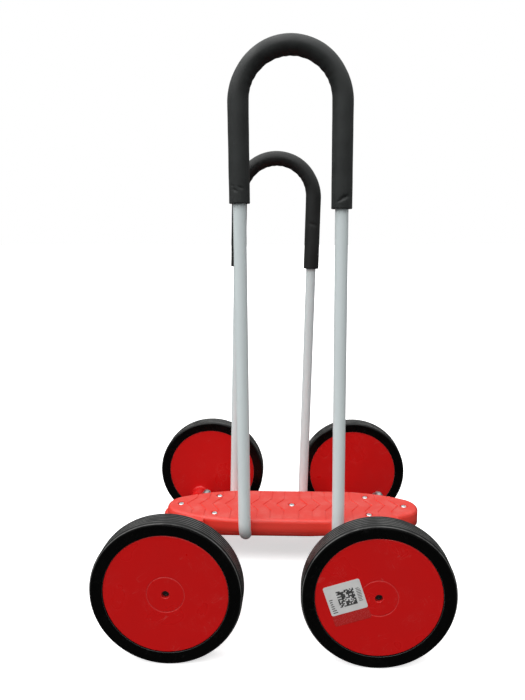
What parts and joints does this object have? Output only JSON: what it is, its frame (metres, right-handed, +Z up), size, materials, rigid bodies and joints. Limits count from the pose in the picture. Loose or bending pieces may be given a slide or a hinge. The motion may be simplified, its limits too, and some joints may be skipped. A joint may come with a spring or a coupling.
{
  "type": "pedal walker",
  "caption": "Child's pedal walker: cranked rods with red disc wheels, foot steps on the crank pins and tall hoop handles with foam grips.",
  "frame": {"origin": "on the floor, midway between the four wheels", "axes": "+X the way it rolls, +Y the left side (the side away from the handle with the higher step), +Z up"},
  "size_m": [0.451, 0.4158, 0.7583],
  "materials": {
    "tyre": "satin black solid rubber",
    "wheel_plastic": "deep red moulded plastic",
    "step_plastic": "bright red moulded plastic",
    "tube_paint": "light grey powder coat on steel tube",
    "foam": "charcoal closed-cell foam",
    "zinc_steel": "zinc plated",
    "bush_nylon": "natural nylon",
    "plug_plastic": "black plastic",
    "label_film": "printed paper and clear film"
  },
  "bodies": {
    "right_step": {"right_tread_cover": "step_plastic", "right_step_base": "step_plastic", "right_bushes": "bush_nylon", "right_step_screws": "zinc_steel", "right_handle_tube": "tube_paint", "right_grip": "foam", "right_tube_plugs": "plug_plastic", "right_tube_clamps": "zinc_steel", "right_clamp_screws": "zinc_steel"},
    "rear_crank": {"rear_crank_rod": "zinc_steel", "rear_spacer_washers": "zinc_steel", "rear_retaining_rings": "zinc_steel", "rear_crank_washers": "zinc_steel", "rear_crank_nuts": "zinc_steel", "rear_lock_pins": "zinc_steel", "rear_hub_screws": "zinc_steel", "rear_right_tyre": "tyre", "rear_right_outer_disc": "wheel_plastic", "rear_right_inner_disc": "wheel_plastic", "rear_left_tyre": "tyre", "rear_left_outer_disc": "wheel_plastic", "rear_left_inner_disc": "wheel_plastic"},
    "front_crank": {"front_crank_rod": "zinc_steel", "front_spacer_washers": "zinc_steel", "front_retaining_rings": "zinc_steel", "front_crank_washers": "zinc_steel", "front_crank_nuts": "zinc_steel", "front_lock_pins": "zinc_steel", "front_hub_screws": "zinc_steel", "front_right_tyre": "tyre", "front_right_outer_disc": "wheel_plastic", "front_right_inner_disc": "wheel_plastic", "front_left_tyre": "tyre", "front_left_outer_disc": "wheel_plastic", "front_left_inner_disc": "wheel_plastic", "wheel_label": "label_film"},
    "left_step": {"left_tread_cover": "step_plastic", "left_step_base": "step_plastic", "left_bushes": "bush_nylon", "left_step_screws": "zinc_steel", "left_handle_tube": "tube_paint", "left_grip": "foam", "left_tube_plugs": "plug_plastic", "left_tube_clamps": "zinc_steel", "left_clamp_screws": "zinc_steel"}
  },
  "joints": [
    {"name": "rear_crank_turn", "type": "hinge", "parent": "right_step", "child": "rear_crank", "pos_m": [-0.10766, 0, 0.1406], "axis": [0, 1, 0], "continuous": true},
    {"name": "front_crank_turn", "type": "hinge", "parent": "right_step", "child": "front_crank", "pos_m": [0.15334, 0, 0.1406], "axis": [0, 1, 0], "continuous": true},
    {"name": "left_step_pivot", "type": "hinge", "parent": "rear_crank", "child": "left_step", "pos_m": [-0.15334, 0, 0.0494], "axis": [0, 1, 0], "continuous": true}
  ],
  "couplings": [
    {"joint": "front_crank_turn", "follows": "rear_crank_turn", "ratio": 1},
    {"joint": "left_step_pivot", "follows": "rear_crank_turn", "ratio": -1}
  ]
}
